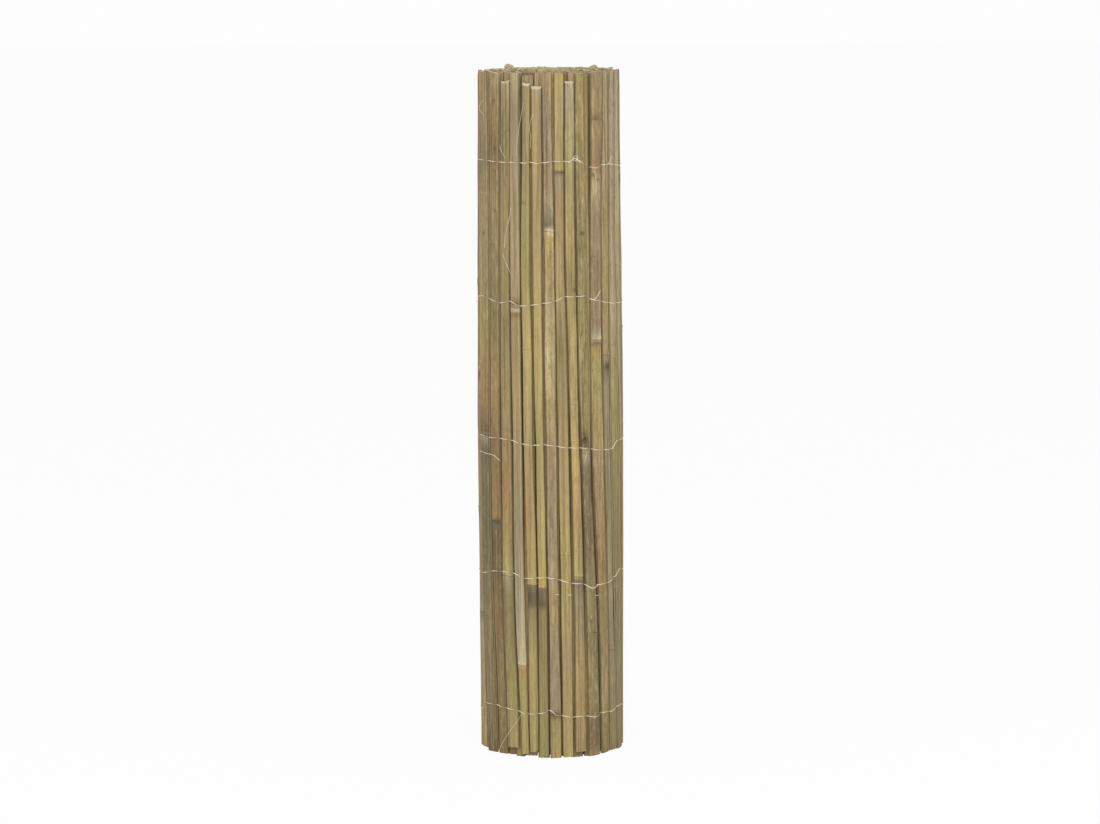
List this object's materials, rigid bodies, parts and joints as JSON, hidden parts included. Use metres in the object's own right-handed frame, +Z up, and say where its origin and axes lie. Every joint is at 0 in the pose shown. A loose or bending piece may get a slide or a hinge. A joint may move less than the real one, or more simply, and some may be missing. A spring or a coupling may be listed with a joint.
{
  "type": "bamboo screen",
  "caption": "Rolled garden screen of split bamboo slats held by rows of twisted binding wire, standing on its end.",
  "frame": {"origin": "middle of the roll's footprint, on the ground it stands on", "axes": "+Z up along the roll, -Y towards the front, +X to the right seen from the front"},
  "size_m": [0.216, 0.219, 1],
  "materials": {
    "bamboo": "matte",
    "wire": "satin"
  },
  "bodies": {
    "root": {"slat_01": "bamboo", "slat_02": "bamboo", "slat_03": "bamboo", "slat_04": "bamboo", "slat_05": "bamboo", "slat_06": "bamboo", "slat_07": "bamboo", "slat_08": "bamboo", "slat_09": "bamboo", "slat_10": "bamboo", "slat_11": "bamboo", "slat_12": "bamboo", "slat_13": "bamboo", "slat_14": "bamboo", "slat_15": "bamboo", "slat_16": "bamboo", "slat_17": "bamboo", "slat_18": "bamboo", "slat_19": "bamboo", "slat_20": "bamboo", "slat_21": "bamboo", "slat_22": "bamboo", "slat_23": "bamboo", "slat_24": "bamboo", "slat_25": "bamboo", "slat_26": "bamboo", "slat_27": "bamboo", "slat_28": "bamboo", "slat_29": "bamboo", "slat_30": "bamboo", "slat_31": "bamboo", "slat_32": "bamboo", "slat_33": "bamboo", "inner_turns": "bamboo", "wire_1_lower_strand": "wire", "wire_1_upper_strand": "wire", "wire_2_lower_strand": "wire", "wire_2_upper_strand": "wire", "wire_3_lower_strand": "wire", "wire_3_upper_strand": "wire", "wire_4_lower_strand": "wire", "wire_4_upper_strand": "wire", "wire_5_lower_strand": "wire", "wire_5_upper_strand": "wire"}
  },
  "joints": []
}
